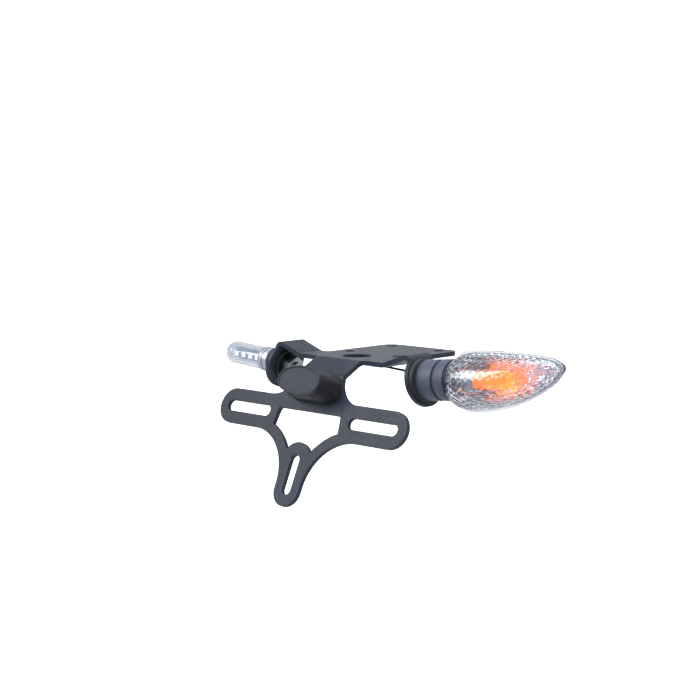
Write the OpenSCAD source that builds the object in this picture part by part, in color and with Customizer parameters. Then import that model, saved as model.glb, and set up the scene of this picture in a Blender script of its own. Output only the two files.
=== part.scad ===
// Motorcycle tail tidy: one folded steel bracket that hangs a number plate
// below the tail, with a small plate lamp and a pair of turn indicators.
// Millimetres. +X is the machine's right, +Y its front, +Z up.
// The origin is the centre of the bolt pattern on the top plate's upper face.

/* [Sheet] */
// Thickness of the folded steel sheet
sheet_t = 3; // [2:0.5:4]
// Inside radius of every fold
fold_r = 2.5; // [2:0.5:3.5]

/* [Number plate hanger] */
// Lean of the hanger back from the vertical
hanger_tilt = 24.3; // [15:0.1:35]
// Distance from the middle to the outer slot centre
slot_out = 68.6; // [64:0.1:74]
// Distance from the middle to the inner slot centre
slot_in = 37; // [34:0.1:42]
// Width of the three adjusting slots
slot_w = 7; // [5:0.1:8]
// Half height of the wings
wing_r = 11.4; // [10:0.1:13]
// Distance from the wing slots down to the lower slot's centre
low_slot_drop = 36.4; // [34:0.1:40]
// Distance between the end centres of the lower slot
low_slot_run = 17.9; // [10:0.1:22]
// Radius of the leg's round end
leg_r = 10.2; // [9:0.1:12]
// Radius of the concave edge between wing and leg
leg_sweep_r = 32; // [28:0.5:34]
// Width of the band between the window and the outer edge
band_w = 7; // [5:0.1:8]
// Height of the window's top edge above the slot line
window_top = 3.4; // [2:0.1:5]
// Half width of the window at its top edge
window_half = 26; // [22:0.1:28]

/* [Neck and top plate] */
// Width of the neck and of the ramp above it
neck_w = 38; // [34:0.5:44]
// Height along the hanger, from the slot line to the first fold
neck_h = 28; // [26:0.1:34]
// Radius between the wings and the neck
neck_fillet = 17; // [10:0.5:18]
// Rise of the ramp between the two folds
ramp_rise = 27.5; // [20:0.5:35]
// Height of the top plate above the slot line
top_h = 33.4; // [32:0.1:38]
// Width of the top plate
top_w = 60; // [56:1:70]
// Length of the top plate ahead of the second fold
top_len = 80; // [76:1:100]
// Radius of the top plate's front corners
top_corner_r = 8; // [4:0.5:12]
// Hole to hole distance across the top plate
bolt_x = 40; // [34:1:44]
// Hole to hole distance along the top plate
bolt_y = 40; // [30:1:44]
// Diameter of the four mounting holes
bolt_d = 6.5; // [5.5:0.1:8.5]
// Distance from the front pair of holes to the front edge
bolt_edge = 10; // [8:1:14]
// Diameter of the cable hole
cable_hole_d = 18; // [12:1:20]

/* [Indicator arms] */
// Width of the two arms
arm_w = 20; // [18:0.5:24]
// Distance from the middle to where an arm starts to rise
arm_knee = 35.5; // [32:0.5:40]
// Rise of an arm's outer stretch
arm_rise = 20.3; // [10:0.1:25]
// Distance from the middle to an indicator's seat
seat_x = 60.8; // [58:0.1:66]
// Depth of the indicators' seats below the top plate's upper face
seat_drop = 9.1; // [7:0.1:11]
// Lean of the round tabs, outer face upwards
tab_lean = 13.6; // [8:0.1:18]
// Radius of the round tab
tab_r = 15.8; // [15:0.1:18]

/* [Indicator fixings] */
// Diameter of the hollow studs that hold the indicators
stud_d = 8; // [6:1:10]
// Play between a stud and its hole, on the diameter
stud_play = 0.6; // [0.4:0.1:1]
// Thickness of the steel washers
washer_t = 1.5; // [1:0.1:2]
// Radius of the bulb indicator's steel washer
washer_r = 10; // [8:0.5:11]
// Thickness of the nuts
nut_t = 5; // [4:0.5:6]
// Width of the nuts across their flats
nut_flats = 13; // [12:1:14]
// Diameter of the bulb indicator's lead
lead_d = 1.5; // [1.2:0.1:1.8]

/* [Plate lamp] */
// Half length of the lamp's oval
lamp_a = 17.5; // [17:0.1:20]
// Half height of the lamp's oval
lamp_b = 9.1; // [8.5:0.1:10]
// Radius of the oval's two ends
lamp_end_r = 7; // [6:0.5:8]
// How far the foot of the lamp's body reaches past the oval at both ends
lamp_flare = 3.7; // [0:0.1:4]
// Depth of the whole lamp with its gasket and cap
lamp_depth = 17; // [16:0.5:22]
// Thickness of the rubber gasket
lamp_gasket_t = 1.2; // [0.8:0.1:2]
// Thickness of the oval cap
lamp_cap_t = 2.6; // [2:0.1:4]
// Wall of the lamp's housing
lamp_wall = 1.8; // [1.5:0.1:2.2]
// Height of the lamp's middle above the slot line, along the hanger
lamp_h = 18; // [17:0.1:19]
// Diameter of the lamp's two screws
lamp_screw_d = 3.5; // [3:0.5:4]
// Depth of the screws inside the lamp's body
lamp_screw_in = 8; // [6:0.5:9]
// Height of the screws' heads
lamp_head_t = 2.2; // [1.8:0.1:2.6]

/* [Bulb indicator] */
// Upward lean of the bulb indicator
bulb_lean = 5.7; // [3:0.1:10]
// Thickness of the rubber spacer at the indicator's axis
spacer_t = 2; // [1.9:0.1:4]
// Radius of the rubber spacer
spacer_r = 12.8; // [12.4:0.1:14]
// How far the rubber spacer reaches to the rear of the stem
spacer_shift = 2.4; // [0:0.1:3]
// Radius of the stem
stem_r = 12.3; // [11:0.1:12.4]
// Distance from the seat to the stem's groove
groove_s = 13.5; // [12:0.1:15]
// Distance from the seat to the stem's outer end
stem_end = 26.6; // [24:0.1:28]
// Distance from the seat to the tip of the lens
bulb_tip = 102.1; // [95:0.1:106]
// Distance from the seat to the lens's widest place
bulb_wide = 38.4; // [36:0.1:46]
// Height of the lens above the axis at its widest place
bulb_up = 17.2; // [15:0.1:18]
// Depth of the lens below the axis at its widest place
bulb_down = 18.6; // [17:0.1:20]
// Radius of the lens's long upper edge
bulb_top_arc = 298; // [180:1:320]
// Radius of the lens's long lower edge
bulb_low_arc = 106.2; // [95:0.1:115]
// How far the clear lens stands out to the rear
lens_bulge = 21; // [16:0.5:23]
// How far the housing stands out to the front
housing_bulge = 16; // [13:0.5:20]
// Wall of the lens and the housing
bulb_wall = 2; // [1.6:0.1:2.4]

/* [Slim indicator] */
// Upward lean of the slim indicator
slim_lean = 4; // [2:0.1:8]
// Radius of the dark root
slim_root_r = 8.6; // [8.2:0.1:9]
// Length of the dark root
slim_root_l = 8.5; // [8:0.5:16]
// Radius of the satin collar
slim_collar_r = 8.1; // [7.7:0.1:8.2]
// Length of the satin collar
slim_collar_l = 8.3; // [7:0.1:10]
// Radius of the clear lens
slim_lens_r = 7.5; // [7:0.1:7.6]
// Distance from the seat to the tip of the clear lens
slim_tip = 52.3; // [46:0.1:56]
// Number of light chips
slim_chips = 4; // [3:1:5]
// Thickness of the rubber washer behind the left tab
slim_rubber_t = 2; // [1.5:0.1:2.5]
// Radius of the rubber washer behind the left tab
slim_rubber_r = 10.5; // [9:0.5:11]
// Radius of the steel washer behind the left tab
slim_steel_r = 8.5; // [8:0.5:9.5]

/* [Hidden] */
$fn = 96;

// Clearance where one piece slides inside another
slip = 0.15;
// Overshoot of a cut past a surface
over = 1;

// Directions of the folded sheet, as angles above the horizontal, looking along X
hanger_up = 90 - hanger_tilt;
fold_out_r = fold_r + sheet_t;
function dir(a) = [cos(a), sin(a)];
function left(a) = [-sin(a), cos(a)];
// Corners of the sheet's outer face, in the plane of Y and Z
first_corner = neck_h * dir(hanger_up);
second_corner = [first_corner[0] + (top_h - first_corner[1]) / tan(ramp_rise), top_h];
first_set = fold_out_r * tan((hanger_up - ramp_rise) / 2);
second_set = fold_out_r * tan(ramp_rise / 2);
top_start = second_corner[0] + second_set;
top_front = top_start + top_len;
arm_rear = top_start;
arm_mid = arm_rear + arm_w / 2;
bolt_mid = top_front - bolt_edge - bolt_y / 2;
cable_ahead = 5;
cable_y = arm_mid + cable_ahead;

// Corners of the arm's upper face, in the plane of X and Z
knee = [arm_knee, top_h];
seat_h = top_h - seat_drop;
seat = [seat_x, seat_h];
tab_dir = tab_lean - 90;
function meet(p, a, q, b) =
    let (d = q - p, k = (d[0] * sin(b) - d[1] * cos(b)) / (cos(a) * sin(b) - sin(a) * cos(b)))
    p + k * dir(a);
shoulder = meet(knee, arm_rise, seat, tab_dir);
// Height of the tab's flat part above the seat, up to where its fold starts
tab_top = norm(shoulder - seat) - fold_out_r * tan((arm_rise - tab_dir) / 2);

// Moves the drawing from the slot line to the bolt pattern's centre
module in_place() {
    translate([0, -bolt_mid, -top_h])
        children();
}

// Stands a side view, drawn in Y and Z, across X
module across(width) {
    rotate([90, 0, 90])
        linear_extrude(width, center = true)
            children();
}

// Stands a rear view, drawn in X and Z, along Y
module along(y0, length) {
    translate([0, y0 + length, 0])
        rotate([90, 0, 0])
            linear_extrude(length)
                children();
}

// Side view of a folded sheet. Its upper face starts at p, turns at each corner,
// and ends at q; a and b are the directions before and after the corner.
function below(p, a) = p - sheet_t * left(a);
function inner_corner(c, a, b) = c - sheet_t / cos((a - b) / 2) * left((a + b) / 2);

// Takes the sharp outside of a fold away, and clears its inside radius
module fold_cut(corner, a, b) {
    turn = a > b ? 1 : -1;
    near = a > b ? fold_out_r : fold_r;
    set = near * tan(abs(a - b) / 2);
    centre = corner - set * dir(a) - turn * near * left(a);
    reach = 4 * fold_out_r;
    translate(centre) {
        circle(fold_r);
        difference() {
            polygon([[0, 0], turn * reach * left(a), turn * reach * left((a + b) / 2),
                turn * reach * left(b)]);
            circle(fold_out_r);
        }
    }
}

// Inside of a fold before its radius is cleared: from the sheet to the fold's centre
module fold_fill(corner, a, b) {
    turn = a > b ? 1 : -1;
    near = a > b ? fold_out_r : fold_r;
    set = near * tan(abs(a - b) / 2);
    centre = corner - set * dir(a) - turn * near * left(a);
    mid = turn * (fold_r + sheet_t / 2);
    polygon([centre, centre + mid * left(a), corner - sheet_t / 2 * left((a + b) / 2),
        centre + mid * left(b)]);
}

// Puts a drawing in the hanger's plane: x across, y up the hanger, z out of its rear face
module on_hanger() {
    rotate([hanger_up, 0, 0])
        children();
}

module slot(length, width) {
    square([length - width, width], center = true);
    for (side = [-1, 1])
        translate([side * (length - width) / 2, 0])
            circle(width / 2);
}

// Concave corner between a vertical edge and a horizontal one
module corner_fill(r) {
    difference() {
        square(r);
        translate([r, r])
            circle(r);
    }
}

leg_mid = leg_sweep_r + leg_r;
leg_top = -wing_r - leg_sweep_r;
leg_below = 0.6;
leg_end = -low_slot_drop - low_slot_run / 2 - leg_below;
bump_y = -low_slot_drop + low_slot_run / 2;
wing_end = slot_out - 1;

module hanger_solid_part() {
    square([2 * wing_end, 2 * wing_r], center = true);
    for (side = [-1, 1])
        translate([side * wing_end, 0])
            circle(wing_r);
    difference() {
        translate([-leg_mid, leg_end])
            square([2 * leg_mid, -leg_end]);
        for (side = [-1, 1]) {
            translate([side * leg_mid, leg_top])
                circle(leg_sweep_r);
            translate([side * (leg_r + leg_sweep_r) - leg_sweep_r, leg_end - over])
                square([2 * leg_sweep_r, leg_top - leg_end + over]);
        }
    }
    translate([0, leg_end])
        circle(leg_r);
    difference() {
        translate([-neck_w / 2 - neck_fillet, 0])
            square([neck_w + 2 * neck_fillet, neck_h - first_set]);
        for (side = [-1, 1])
            translate([side * (neck_w / 2 + neck_fillet), wing_r + neck_fillet])
                circle(neck_fillet);
    }
}

module hanger_window() {
    corner = 1.5;
    foot = window_half + 1.6;
    knee_y = window_top - wing_r;
    difference() {
        polygon([[-window_half, window_top], [window_half, window_top], [foot, knee_y],
            [foot, bump_y], [-foot, bump_y], [-foot, knee_y]]);
        for (side = [-1, 1])
            translate([side * leg_mid, leg_top])
                circle(leg_sweep_r + band_w);
        translate([0, bump_y])
            circle(slot_w / 2 + band_w + 1);
        translate([window_half, window_top])
            rotate(180)
                corner_fill(corner);
        translate([-window_half, window_top])
            rotate(-90)
                corner_fill(corner);
    }
}

module hanger_outline() {
    difference() {
        hanger_solid_part();
        hanger_window();
        for (side = [-1, 1])
            translate([side * (slot_in + slot_out) / 2, 0])
                slot(slot_out - slot_in + slot_w, slot_w);
        translate([0, -low_slot_drop])
            rotate(90)
                slot(low_slot_run + slot_w, slot_w);
        for (side = [-1, 1])
            translate([side * lamp_screw_u, lamp_h])
                circle(lamp_hole_r);
    }
}

// Plan of everything ahead of the first fold
module top_plan() {
    notch = 3;
    difference() {
        union() {
            translate([-neck_w / 2, 0])
                square([neck_w, top_start + over]);
            translate([-top_w / 2, arm_rear])
                square([top_w, top_len - top_corner_r]);
            translate([-top_w / 2 + top_corner_r, arm_rear])
                square([top_w - 2 * top_corner_r, top_len]);
            for (side = [-1, 1])
                translate([side * (top_w / 2 - top_corner_r), top_front - top_corner_r])
                    circle(top_corner_r);
            for (side = [0, 1])
                mirror([side, 0]) {
                    translate([neck_w / 2, arm_rear])
                        mirror([0, 1])
                            corner_fill(notch);
                    translate([top_w / 2, arm_rear + arm_w])
                        corner_fill(notch);
                }
        }
        for (i = [-1, 1], j = [-1, 1])
            translate([i * bolt_x / 2, bolt_mid + j * bolt_y / 2])
                circle(bolt_d / 2);
        translate([0, cable_y])
            circle(cable_hole_d / 2);
    }
}

module centre_sheet() {
    foot = first_corner - (first_set + 2) * dir(hanger_up);
    end = [top_front, top_h];
    difference() {
        union() {
            polygon([foot, first_corner, second_corner, end, below(end, 0),
                inner_corner(second_corner, ramp_rise, 0),
                inner_corner(first_corner, hanger_up, ramp_rise), below(foot, hanger_up)]);
            fold_fill(first_corner, hanger_up, ramp_rise);
            fold_fill(second_corner, ramp_rise, 0);
        }
        fold_cut(first_corner, hanger_up, ramp_rise);
        fold_cut(second_corner, ramp_rise, 0);
    }
}

module arm_sheet() {
    root = [top_w / 2 - 6, top_h];
    difference() {
        union() {
            polygon([root, knee, shoulder, seat, below(seat, tab_dir),
                inner_corner(shoulder, arm_rise, tab_dir), inner_corner(knee, 0, arm_rise),
                below(root, 0)]);
            fold_fill(knee, 0, arm_rise);
            fold_fill(shoulder, arm_rise, tab_dir);
        }
        fold_cut(knee, 0, arm_rise);
        fold_cut(shoulder, arm_rise, tab_dir);
    }
}

module main_bracket() {
    color("#4a5059")
        in_place() {
            on_hanger()
                translate([0, 0, -sheet_t])
                    linear_extrude(sheet_t)
                        hanger_outline();
            intersection() {
                across(4 * top_w)
                    centre_sheet();
                translate([0, 0, -top_h])
                    linear_extrude(3 * top_h)
                        top_plan();
            }
            for (side = [0, 1])
                mirror([side, 0, 0])
                    difference() {
                        union() {
                            along(arm_rear, arm_w)
                                arm_sheet();
                            on_axis(1, tab_lean)
                                tab();
                        }
                        on_axis(1, tab_lean)
                            turned(-sheet_t - over, over, (stud_d + stud_play) / 2);
                    }
        }
}

// Puts a drawing on an axis through a seat: x runs outwards from the seat, z up
module on_axis(side, lean) {
    mirror([side < 0 ? 1 : 0, 0, 0])
        translate([seat_x, arm_mid, seat_h])
            rotate([0, -lean, 0])
                children();
}

// Round tab, flat up to where its fold starts
module tab() {
    intersection() {
        turned(-sheet_t, 0, tab_r);
        translate([-sheet_t - over, -2 * tab_r, tab_top - 4 * tab_r])
            cube([sheet_t + 2 * over, 4 * tab_r, 4 * tab_r]);
    }
}

// Turns a drawing from an indicator's axis to the tab's
module to_tab(lean) {
    rotate([0, lean - tab_lean, 0])
        children();
}

// What an indicator's foot loses to the tab and to the stud in its bore
module tab_cut(lean, bore_end) {
    reach = 2 * tab_r;
    to_tab(lean) {
        translate([-reach, -2 * tab_r, -2 * tab_r])
            cube([reach, 4 * tab_r, 4 * tab_r]);
        turned(-over, bore_end, stud_d / 2 + slip);
    }
}

// Round bar along the axis, from s0 to s1
module turned(s0, s1, r) {
    translate([s0, 0, 0])
        rotate([0, 90, 0])
            cylinder(h = s1 - s0, r = r);
}

// Ring along the axis
module ring(s0, s1, r_out, r_in) {
    difference() {
        turned(s0, s1, r_out);
        turned(s0 - over, s1 + over, r_in);
    }
}

// Turned shape from half a section, given as points of distance and radius
module lathe(points) {
    rotate([0, 90, 0])
        rotate_extrude()
            polygon([for (p = points) [p[1], p[0]]]);
}

lamp_screw_u = lamp_a - lamp_end_r + 1;
lamp_boss_r = lamp_screw_d / 2 + 1.3;
lamp_hole_r = lamp_screw_d / 2 + 0.3;
lamp_body_n = lamp_depth - lamp_cap_t;
lamp_boss_l = lamp_screw_in + 2;
lamp_back_t = 2;
lamp_board = [16, 1.2, 9];
lamp_board_v = 4.2;
lamp_chip = [3, 1, 3];
lamp_chip_u = 4.5;
lamp_chip_n = 7;
window_u = 9;
window_n = [5, 13];

// Oval of two end arcs and two long arcs, tangent to each other
module oval(a, b, r) {
    c = a - r;
    big = (c * c + b * b - r * r) / (2 * (b - r));
    foot = c * big / (big - r);
    intersection() {
        translate([0, b - big])
            circle(big, $fn = 240);
        translate([0, big - b])
            circle(big, $fn = 240);
        square([2 * foot, 2 * b + over], center = true);
    }
    for (side = [-1, 1])
        translate([side * c, 0])
            intersection() {
                circle(r);
                translate([side * (foot - c + r), 0])
                    square([2 * r, 2 * r], center = true);
            }
}

module lamp_place() {
    in_place()
        on_hanger()
            translate([0, lamp_h, 0])
                children();
}

module plate_lamp_gasket() {
    color("#16181b")
        lamp_place()
            linear_extrude(lamp_gasket_t)
                difference() {
                    lamp_foot(0);
                    for (side = [-1, 1])
                        translate([side * lamp_screw_u, 0])
                            circle(lamp_hole_r);
                }
}

// Faceted outline of the body's foot
module lamp_foot(shrink) {
    a = lamp_a + lamp_flare - shrink;
    b = lamp_b - shrink;
    half = [[0.6 * a, -b], [0.96 * a, -0.6 * b], [a, -0.31 * b], [0.985 * a, 0.46 * b], [0.7 * a, b]];
    polygon(concat(half, [for (i = [4:-1:0]) [-half[i][0], half[i][1]]]));
}

// Body from its faceted foot at n0 to the oval at n1
module lamp_body(shrink, n0, n1) {
    land = 0.5;
    hull() {
        translate([0, 0, n0])
            linear_extrude(land)
                lamp_foot(shrink);
        translate([0, 0, n1 - land])
            linear_extrude(land)
                oval(lamp_a - shrink, lamp_b - shrink, lamp_end_r - shrink);
    }
}

module lamp_shell(shrink, n0, n1) {
    translate([0, 0, n0])
        linear_extrude(n1 - n0)
            oval(lamp_a - shrink, lamp_b - shrink, lamp_end_r - shrink);
}

module window_block(gap) {
    translate([-window_u + gap, -lamp_b - over, window_n[0] + gap])
        cube([2 * (window_u - gap), lamp_b, window_n[1] - window_n[0] - 2 * gap]);
}

module plate_lamp_housing() {
    color("#3a3f47")
        lamp_place()
            difference() {
                union() {
                    difference() {
                        lamp_body(0, lamp_gasket_t, lamp_body_n);
                        lamp_body(lamp_wall, lamp_gasket_t + lamp_back_t, lamp_body_n + over);
                        window_block(0);
                    }
                    for (side = [-1, 1])
                        translate([side * lamp_screw_u, 0, lamp_gasket_t])
                            cylinder(h = lamp_boss_l, r = lamp_boss_r);
                }
                for (side = [-1, 1])
                    translate([side * lamp_screw_u, 0, lamp_gasket_t - over])
                        cylinder(h = lamp_screw_in + 2 * over, r = lamp_screw_d / 2);
            }
}

module plate_lamp_cap() {
    rim = 1.1;
    sink = 0.6;
    spigot = 1.5;
    color("#474d56")
        lamp_place()
            difference() {
                union() {
                    lamp_shell(0, lamp_body_n, lamp_depth);
                    difference() {
                        lamp_shell(lamp_wall + slip, lamp_body_n - spigot, lamp_depth);
                        lamp_shell(lamp_wall + 1.2, lamp_body_n - spigot - over, lamp_body_n);
                    }
                }
                lamp_shell(rim, lamp_depth - sink, lamp_depth + over);
            }
}

module plate_lamp_window() {
    color([0.85, 0.92, 1, 0.5])
        lamp_place()
            intersection() {
                difference() {
                    lamp_body(0.1, lamp_gasket_t, lamp_body_n);
                    lamp_body(lamp_wall, lamp_gasket_t + lamp_back_t, lamp_body_n + over);
                }
                window_block(slip);
            }
}

module plate_lamp_board() {
    color("#2e7d4f")
        lamp_place()
            translate([-lamp_board[0] / 2, lamp_board_v, lamp_gasket_t + lamp_back_t])
                cube(lamp_board);
}

module plate_lamp_chips() {
    color("#f4f0d0")
        lamp_place()
            for (side = [-1, 1])
                translate([side * lamp_chip_u - lamp_chip[0] / 2, lamp_board_v - lamp_chip[1], lamp_chip_n])
                    cube(lamp_chip);
}

module plate_lamp_screws() {
    head_n = -sheet_t - lamp_head_t;
    color("#9aa0a8")
        lamp_place()
            for (side = [-1, 1])
                translate([side * lamp_screw_u, 0, 0]) {
                    translate([0, 0, -sheet_t])
                        cylinder(h = sheet_t + lamp_gasket_t + lamp_screw_in, r = lamp_screw_d / 2);
                    difference() {
                        translate([0, 0, head_n])
                            cylinder(h = lamp_head_t, r1 = lamp_screw_d - 0.5, r2 = lamp_screw_d);
                        translate([0, 0, head_n - over])
                            cylinder(h = lamp_head_t / 2 + over, r = lamp_screw_d * 0.55, $fn = 6);
                    }
                }
}

// Outline of the bulb indicator, seen from the rear: heights of its upper and
// lower edges at a distance s from the seat. inset steps in from the rim, and
// wall steps in from the inner end too.
head_run = bulb_wide - stem_end + 0.3;
head_power = 2.94;
tip_run = 9.6;
tip_power = 2.26;
// The two long arcs are drawn this far past the widest place, then stretched to the tip
arc_run = 63.7;
function drop(x, r) = r - sqrt(r * r - x * x);
function round_end(x, p) = pow(max(0, 1 - pow(max(0, x), p)), 1 / p);
function head(s) = round_end((bulb_wide - s) / head_run, head_power);
function tip(s, inset) = round_end((s - bulb_tip + inset + tip_run) / tip_run, tip_power);
function beyond(s) = max(0, s - bulb_wide);
function on_arc(s) = beyond(s) * arc_run / (bulb_tip - bulb_wide);
function up_edge(s) = bulb_up - drop(on_arc(s), bulb_top_arc);
function low_edge(s) = -bulb_down + drop(on_arc(s), bulb_low_arc);
function mid_line(s) = (up_edge(s) + low_edge(s)) / 2;
function half_height(s, inset, wall) =
    max(0.05, ((up_edge(s) - low_edge(s)) / 2 - inset - wall) * head(s - wall) * tip(s, inset + wall));
function bulge(s, depth, inset, wall) =
    let (x = beyond(s - wall) / (bulb_tip - inset - 2 * wall - bulb_wide))
    max(0.05, (depth - wall) * head(s - wall) * pow(max(0, 1 - x * x), 0.8));

// Stations along the lens, close together at both ends
steps = 18;
function station(i, inset, wall) =
    let (x = (1 - cos(180 * i / steps)) / 2, first = stem_end + wall, last = bulb_tip - inset - wall)
    first + x * (last - first);

// One section: y is -1 towards the rear and 1 towards the front
sides = 20;
function section(s, y, depth, inset, wall, half) =
    [for (j = [0:sides])
        let (a = y * half * (1 - 2 * j / sides))
        [s, y * bulge(s, depth, inset, wall) * cos(a), mid_line(s) + half_height(s, inset, wall) * sin(a)]];

// Loft through the sections, with its flat side near the rim plane
module loft(y, depth, inset, wall, half = 90) {
    rings = [for (i = [0:steps]) section(station(i, inset, wall), y, depth, inset, wall, half)];
    m = sides + 1;
    points = [for (r = rings, p = r) p];
    skin = [for (i = [0:steps - 1], j = [0:m - 1])
        let (a = i * m + j, b = i * m + (j + 1) % m, c = (i + 1) * m + (j + 1) % m, d = (i + 1) * m + j)
        [a, b, c, d]];
    ends = [[for (j = [m - 1:-1:0]) j], [for (j = [0:m - 1]) steps * m + j]];
    polyhedron(points, concat(skin, ends));
}

module bulb_place() {
    in_place()
        on_axis(1, bulb_lean)
            children();
}

// Puts a drawing on the tab's own axis
module tab_place(side) {
    in_place()
        on_axis(side, tab_lean)
            children();
}

rim_step = 1.3;
rim_t = 2.4;
seal_t = 1;

// Flat plate in the rim plane, following the outline
module rim_plate(y0, y1, inset, wall = 0) {
    s = [for (i = [0:steps]) station(i, inset, wall)];
    upper = [for (x = s) [x, mid_line(x) + half_height(x, inset, wall)]];
    lower = [for (i = [steps:-1:0]) [s[i], mid_line(s[i]) - half_height(s[i], inset, wall)]];
    translate([0, y1, 0])
        rotate([90, 0, 0])
            linear_extrude(y1 - y0)
                polygon(concat(upper, lower));
}

// How far a foot starts behind its seat, so that the tab's cut trims all of it
function foot_back(r, lean) = r * tan(abs(tab_lean - lean)) + over;

module bulb_spacer() {
    back = foot_back(spacer_r, bulb_lean);
    color("#14161a")
        bulb_place()
            difference() {
                translate([-back, 0, 0])
                    rotate([90, 0, 90])
                        linear_extrude(back + spacer_t)
                            hull() {
                                circle(stem_r + 0.1);
                                translate([-spacer_shift, 0])
                                    circle(spacer_r);
                            }
                tab_cut(bulb_lean, stud_in);
            }
}

stud_in = 12;
module bulb_stem() {
    groove_w = 2;
    groove_in = 1.3;
    neck_s = stem_end - 4;
    bevel = 0.4;
    color("#4c525c")
        bulb_place()
            difference() {
                lathe([[spacer_t, 0], [spacer_t, stem_r - bevel], [spacer_t + bevel, stem_r],
                    [groove_s, stem_r], [groove_s, stem_r - groove_in],
                    [groove_s + groove_w, stem_r - groove_in], [groove_s + groove_w, stem_r],
                    [neck_s, stem_r], [neck_s, stem_r - groove_in], [stem_end, stem_r - groove_in],
                    [stem_end, 0]]);
                tab_cut(bulb_lean, stud_in);
            }
}

module bulb_housing() {
    color("#1b1e23")
        bulb_place()
            difference() {
                loft(1, housing_bulge, rim_step, 0);
                loft(1, housing_bulge, rim_step, bulb_wall, 100);
            }
}

module bulb_seal() {
    color("#0f1114")
        bulb_place()
            difference() {
                rim_plate(-seal_t, 0, rim_step);
                rim_plate(-seal_t - over, over, rim_step, bulb_wall);
            }
}

module bulb_lens() {
    color([0.84, 0.88, 0.95, 0.45])
        bulb_place()
            translate([0, -seal_t, 0])
                difference() {
                    union() {
                        loft(-1, lens_bulge, rim_step, 0);
                        rim_plate(-rim_t, 0, 0);
                    }
                    loft(-1, lens_bulge, rim_step, bulb_wall, 100);
                }
}

socket_r = 7;
socket_foot_r = 5;
socket_foot_l = 3;
socket_l = 12;
socket_floor = 4;
bulb_r = 5.5;
module bulb_reflector() {
    skin = 1.2;
    dish = housing_bulge - 4;
    gap = bulb_wall + slip;
    color("#d8dce2")
        bulb_place()
            difference() {
                loft(1, dish, rim_step, gap);
                loft(1, dish, rim_step, gap + skin, 100);
                turned(stem_end, stem_end + bulb_wall + socket_l + over, socket_r + slip);
            }
}

module bulb_socket() {
    start = stem_end + bulb_wall;
    color("#8b8f96")
        bulb_place()
            lathe([[start, 0], [start, socket_foot_r], [start + socket_foot_l, socket_foot_r],
                [start + socket_foot_l, socket_r], [start + socket_l, socket_r],
                [start + socket_l, bulb_r + slip], [start + socket_floor, bulb_r + slip],
                [start + socket_floor, 0]]);
}

module amber_bulb() {
    start = stem_end + bulb_wall + socket_floor;
    glass_l = 32;
    color("#f39a3c")
        bulb_place() {
            turned(start, start + glass_l - bulb_r, bulb_r);
            translate([start + glass_l - bulb_r, 0, 0])
                sphere(r = bulb_r);
        }
}

stud_out = 0.8;
lead_bore_r = 1.2;
bulb_stud_end = -sheet_t - washer_t - nut_t - stud_out;

module hollow_stud(s0, s1) {
    ring(s0, s1, stud_d / 2, lead_bore_r);
}

module hex_nut(s1) {
    translate([s1 - nut_t, 0, 0])
        rotate([0, 90, 0])
            difference() {
                cylinder(h = nut_t, r = nut_flats / 2 / cos(30), $fn = 6);
                translate([0, 0, -over])
                    cylinder(h = nut_t + 2 * over, r = stud_d / 2 + 0.1);
            }
}

module bulb_stud() {
    color("#a7abb2")
        tab_place(1)
            hollow_stud(bulb_stud_end, stud_in);
}

module bulb_backing_washer() {
    color("#8e9298")
        tab_place(1)
            ring(-sheet_t - washer_t, -sheet_t, washer_r, stud_d / 2 + 0.3);
}

module bulb_nut() {
    color("#8e9298")
        tab_place(1)
            hex_nut(-sheet_t - washer_t);
}

// Route of the bulb indicator's lead, from inside its stud to the connector
stud_dir = [cos(tab_lean), 0, sin(tab_lean)];
stud_mouth = [seat_x, arm_mid, seat_h] + bulb_stud_end * stud_dir;
under_plate = [0, arm_mid, top_h - sheet_t];
// Bends measured from the stud's mouth
lead_bends = [[-1.4, 0, -0.05], [-2.8, 0.05, 0.7], [-3.8, 0.15, 2.3], [-4.6, 0.3, 4.1], [-5.8, 0.45, 5.5],
    [-7.6, 0.6, 6.5]];
// Stretch below the plate, measured from the middle of the arms on its underside
lead_run = [[39, 0.6, -1.7], [35, 0.6, -1.4], [30, 0.6, -1.1], [26, 0.8, -0.9], [21, 2.2, -0.9],
    [16.5, 4.6, -0.9], [12, 8, -0.9], [8, 11.6, -1.2], [4.6, 14.4, -1.8], [2, 16.6, -2.5],
    [0.4, 18.8, -2.9], [0, 21, -3], [0, 23, -3]];
lead_route = concat([stud_mouth + 2.3 * stud_dir, stud_mouth + 0.3 * stud_dir],
    [for (p = lead_bends) stud_mouth + p], [for (p = lead_run) under_plate + p]);

function unit(v) = v / norm(v);
// Ring of points round the route, square to its direction there
function hoop(i) =
    let (n = len(lead_route) - 1,
        t = unit(lead_route[min(n, i + 1)] - lead_route[max(0, i - 1)]),
        u = unit(cross(t, [0.3, 0.2, 1])),
        v = cross(t, u))
    [for (k = [0:7]) lead_route[i] + lead_d / 2 * (cos(45 * k) * u + sin(45 * k) * v)];

module bulb_lead() {
    n = len(lead_route) - 1;
    points = [for (i = [0:n], p = hoop(i)) p];
    skin = [for (i = [0:n - 1], k = [0:7])
        [8 * i + k, 8 * i + 8 + k, 8 * i + 8 + (k + 1) % 8, 8 * i + (k + 1) % 8]];
    ends = [[for (k = [0:7]) k], [for (k = [7:-1:0]) 8 * n + k]];
    color("#17191d")
        in_place()
            polyhedron(points, concat(skin, ends));
}

connector = [9, 17, 6];
module lead_connector() {
    wall = 1.2;
    cell = (connector[0] - 3 * wall) / 2;
    deep = connector[1] / 2;
    color("#e4e2da")
        in_place()
            translate(under_plate + [-connector[0] / 2, lead_run[len(lead_run) - 1][1], -connector[2]])
                difference() {
                    cube(connector);
                    for (side = [0, 1])
                        translate([wall + side * (cell + wall), connector[1] - deep, wall])
                            cube([cell, deep + over, connector[2] - 2 * wall]);
                }
}

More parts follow.
